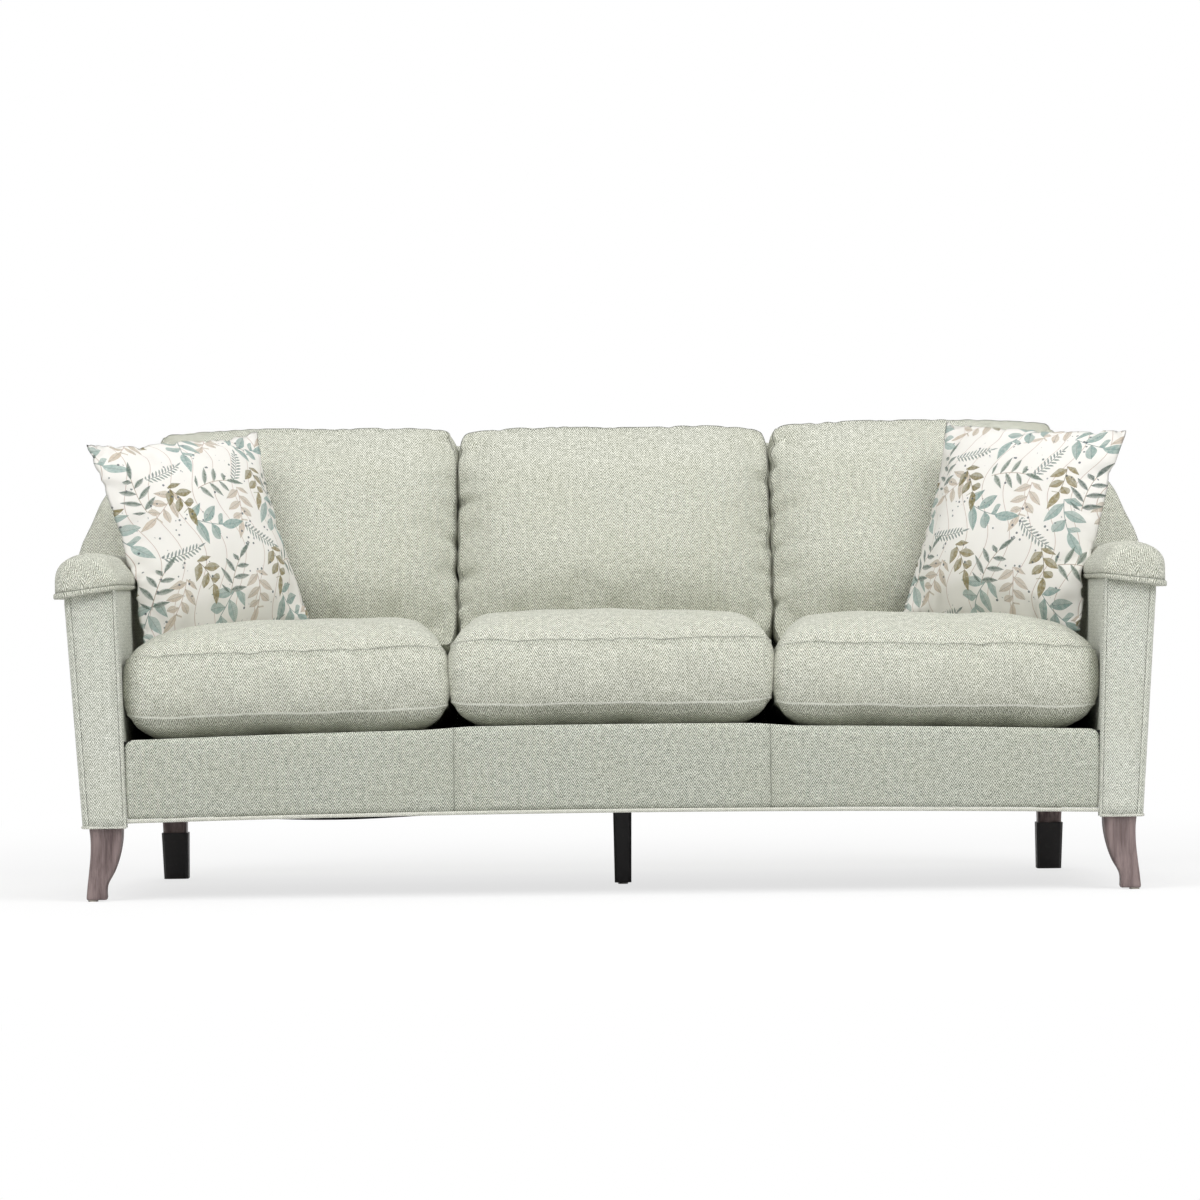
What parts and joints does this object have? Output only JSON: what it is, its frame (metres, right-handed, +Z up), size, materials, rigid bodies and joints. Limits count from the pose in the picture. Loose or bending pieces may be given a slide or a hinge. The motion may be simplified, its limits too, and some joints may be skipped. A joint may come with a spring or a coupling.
{
  "type": "camelback sofa",
  "caption": "Camelback sofa with rolled arms, loose seat and back cushions, throw pillows and sabre legs, covered in pale sage herringbone cloth.",
  "frame": {"origin": "on the floor, under the middle of the sofa's box", "axes": "+X to the viewer's right along the sofa, +Y towards its back, +Z up"},
  "size_m": [2.25, 0.96, 0.9441],
  "materials": {
    "sage_herringbone": "woven herringbone",
    "sage_welt": "woven welt",
    "print_cloth": "printed linen",
    "leg_wood": "weathered satin",
    "frame_wood": "raw",
    "spring_steel": "bare",
    "deck_cloth": "plain woven",
    "black_cloth": "thin nonwoven",
    "black_leg": "matt",
    "glide": "matt"
  },
  "bodies": {
    "sofa": {"arm_cap_left": "sage_herringbone", "arm_cap_right": "sage_herringbone", "arm_front_panel_left": "sage_herringbone", "arm_front_panel_right": "sage_herringbone", "arm_inner_panel_left": "sage_herringbone", "arm_inner_panel_right": "sage_herringbone", "arm_outer_panel_left": "sage_herringbone", "arm_outer_panel_right": "sage_herringbone", "arm_top_board_left": "frame_wood", "arm_top_board_right": "frame_wood", "back_band": "sage_herringbone", "back_rail": "frame_wood", "back_top_rail": "frame_wood", "back_upright_left": "frame_wood", "back_upright_right": "frame_wood", "back_wing_left": "frame_wood", "back_wing_right": "frame_wood", "bottom_welt": "sage_welt", "centre_glide": "glide", "centre_leg": "black_leg", "centre_rail": "frame_wood", "corner_block_left": "frame_wood", "corner_block_right": "frame_wood", "deck_pad": "deck_cloth", "dust_cover": "black_cloth", "front_border": "sage_herringbone", "front_glide_left": "glide", "front_glide_right": "glide", "front_leg_left": "leg_wood", "front_leg_right": "leg_wood", "front_post_left": "frame_wood", "front_post_right": "frame_wood", "front_rail": "frame_wood", "inside_back": "sage_herringbone", "outside_back": "sage_herringbone", "rear_leg_left": "leg_wood", "rear_leg_right": "leg_wood", "rear_leg_sleeve_left": "black_leg", "rear_leg_sleeve_right": "black_leg", "rear_post_left": "frame_wood", "rear_post_right": "frame_wood", "seat_spring_1": "spring_steel", "seat_spring_2": "spring_steel", "seat_spring_3": "spring_steel", "seat_spring_4": "spring_steel", "seat_spring_5": "spring_steel", "seat_spring_6": "spring_steel", "seat_spring_7": "spring_steel", "seat_spring_8": "spring_steel", "side_rail_left": "frame_wood", "side_rail_right": "frame_wood"},
    "back_cushion_centre_body": {"back_cushion_centre": "sage_herringbone"},
    "back_cushion_left_body": {"back_cushion_left": "sage_herringbone"},
    "back_cushion_right_body": {"back_cushion_right": "sage_herringbone"},
    "seat_cushion_centre_body": {"seat_cushion_centre": "sage_herringbone"},
    "seat_cushion_left_body": {"seat_cushion_left": "sage_herringbone"},
    "seat_cushion_right_body": {"seat_cushion_right": "sage_herringbone"},
    "throw_pillow_left_body": {"throw_pillow_left": "print_cloth"},
    "throw_pillow_right_body": {"throw_pillow_right": "print_cloth"}
  },
  "joints": [
    {"name": "back_cushion_centre_lift_out", "type": "slide", "parent": "sofa", "child": "back_cushion_centre_body", "axis": [0, 0.2079, 0.9781], "range_m": [0, 0.45]},
    {"name": "back_cushion_left_lift_out", "type": "slide", "parent": "sofa", "child": "back_cushion_left_body", "axis": [0, 0.2079, 0.9781], "range_m": [0, 0.45]},
    {"name": "back_cushion_right_lift_out", "type": "slide", "parent": "sofa", "child": "back_cushion_right_body", "axis": [0, 0.2079, 0.9781], "range_m": [0, 0.45]},
    {"name": "seat_cushion_centre_pull_out", "type": "slide", "parent": "sofa", "child": "seat_cushion_centre_body", "axis": [0, -0.9978, 0.067], "range_m": [0, 0.62]},
    {"name": "seat_cushion_left_pull_out", "type": "slide", "parent": "sofa", "child": "seat_cushion_left_body", "axis": [0, -0.9978, 0.067], "range_m": [0, 0.62]},
    {"name": "seat_cushion_right_pull_out", "type": "slide", "parent": "sofa", "child": "seat_cushion_right_body", "axis": [0, -0.9978, 0.067], "range_m": [0, 0.62]},
    {"name": "throw_pillow_left_lift", "type": "slide", "parent": "sofa", "child": "throw_pillow_left_body", "axis": [0, 0, 1], "range_m": [0, 0.5]},
    {"name": "throw_pillow_right_lift", "type": "slide", "parent": "sofa", "child": "throw_pillow_right_body", "axis": [0, 0, 1], "range_m": [0, 0.5]}
  ]
}
